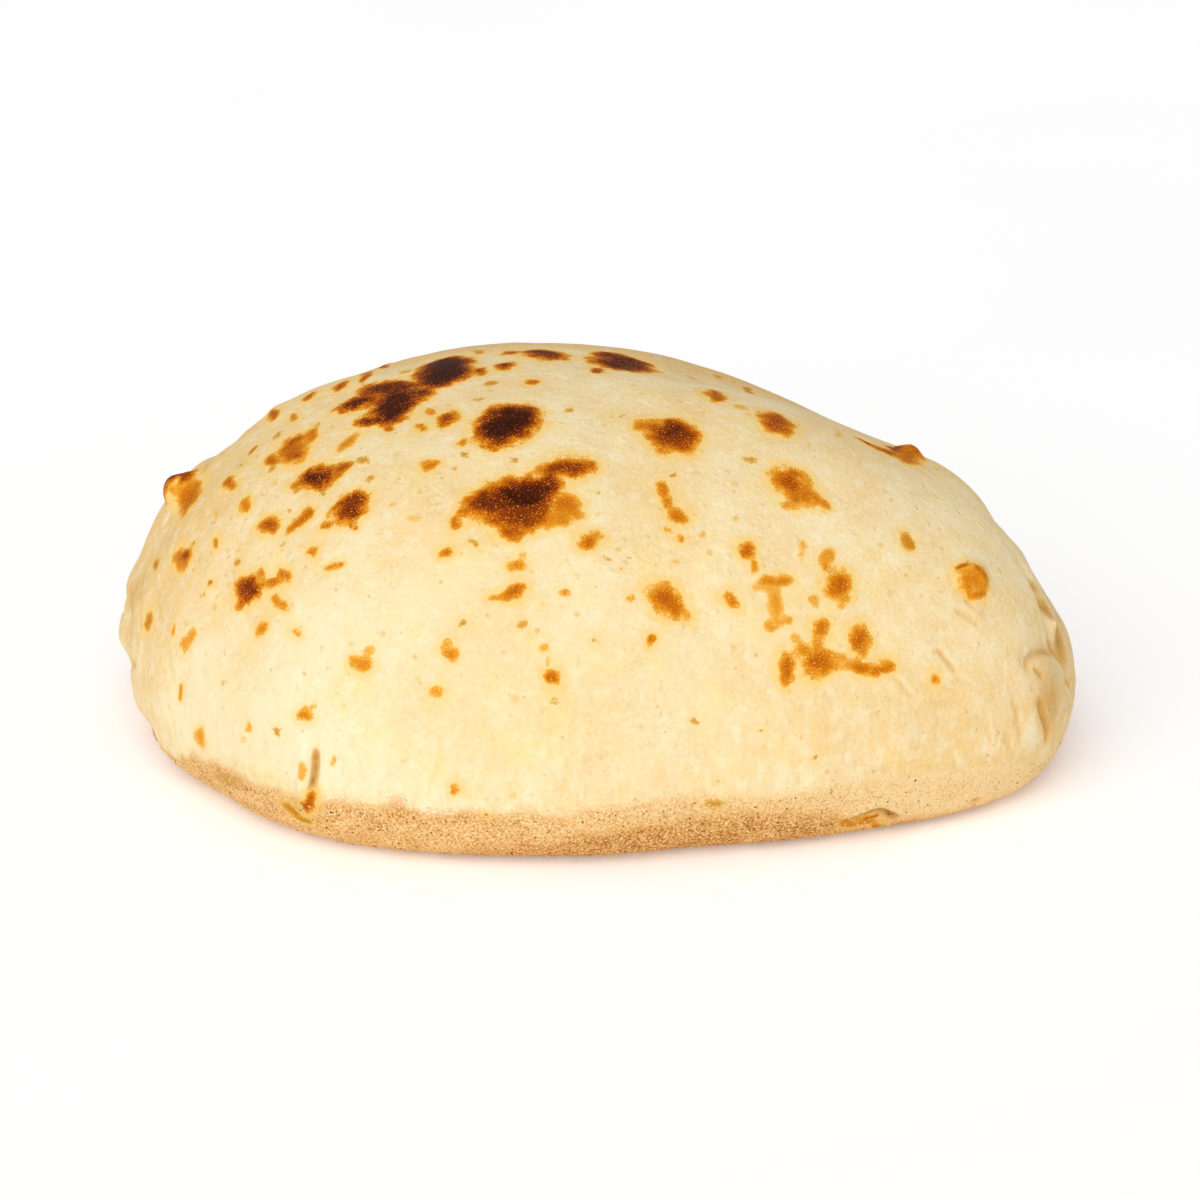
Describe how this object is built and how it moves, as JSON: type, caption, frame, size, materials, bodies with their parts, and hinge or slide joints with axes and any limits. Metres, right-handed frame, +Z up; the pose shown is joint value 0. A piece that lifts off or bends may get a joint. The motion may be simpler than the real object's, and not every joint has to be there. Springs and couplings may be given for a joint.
{
  "type": "pita bread",
  "caption": "Whole puffed pita bread: a ballooned flatbread with a domed, blistered top and a flat underside that it rests on.",
  "frame": {"origin": "middle of the footprint's box, on the surface the bread rests on", "axes": "+X along the long side towards the gently sloping end, +Y towards the back, +Z up through the dome"},
  "size_m": [0.2204, 0.1748, 0.0865],
  "materials": {
    "crust": "matte baked dough, pale cream with brown scorch marks and floury grain"
  },
  "bodies": {
    "root": {"pita_bread": "crust"}
  },
  "joints": []
}
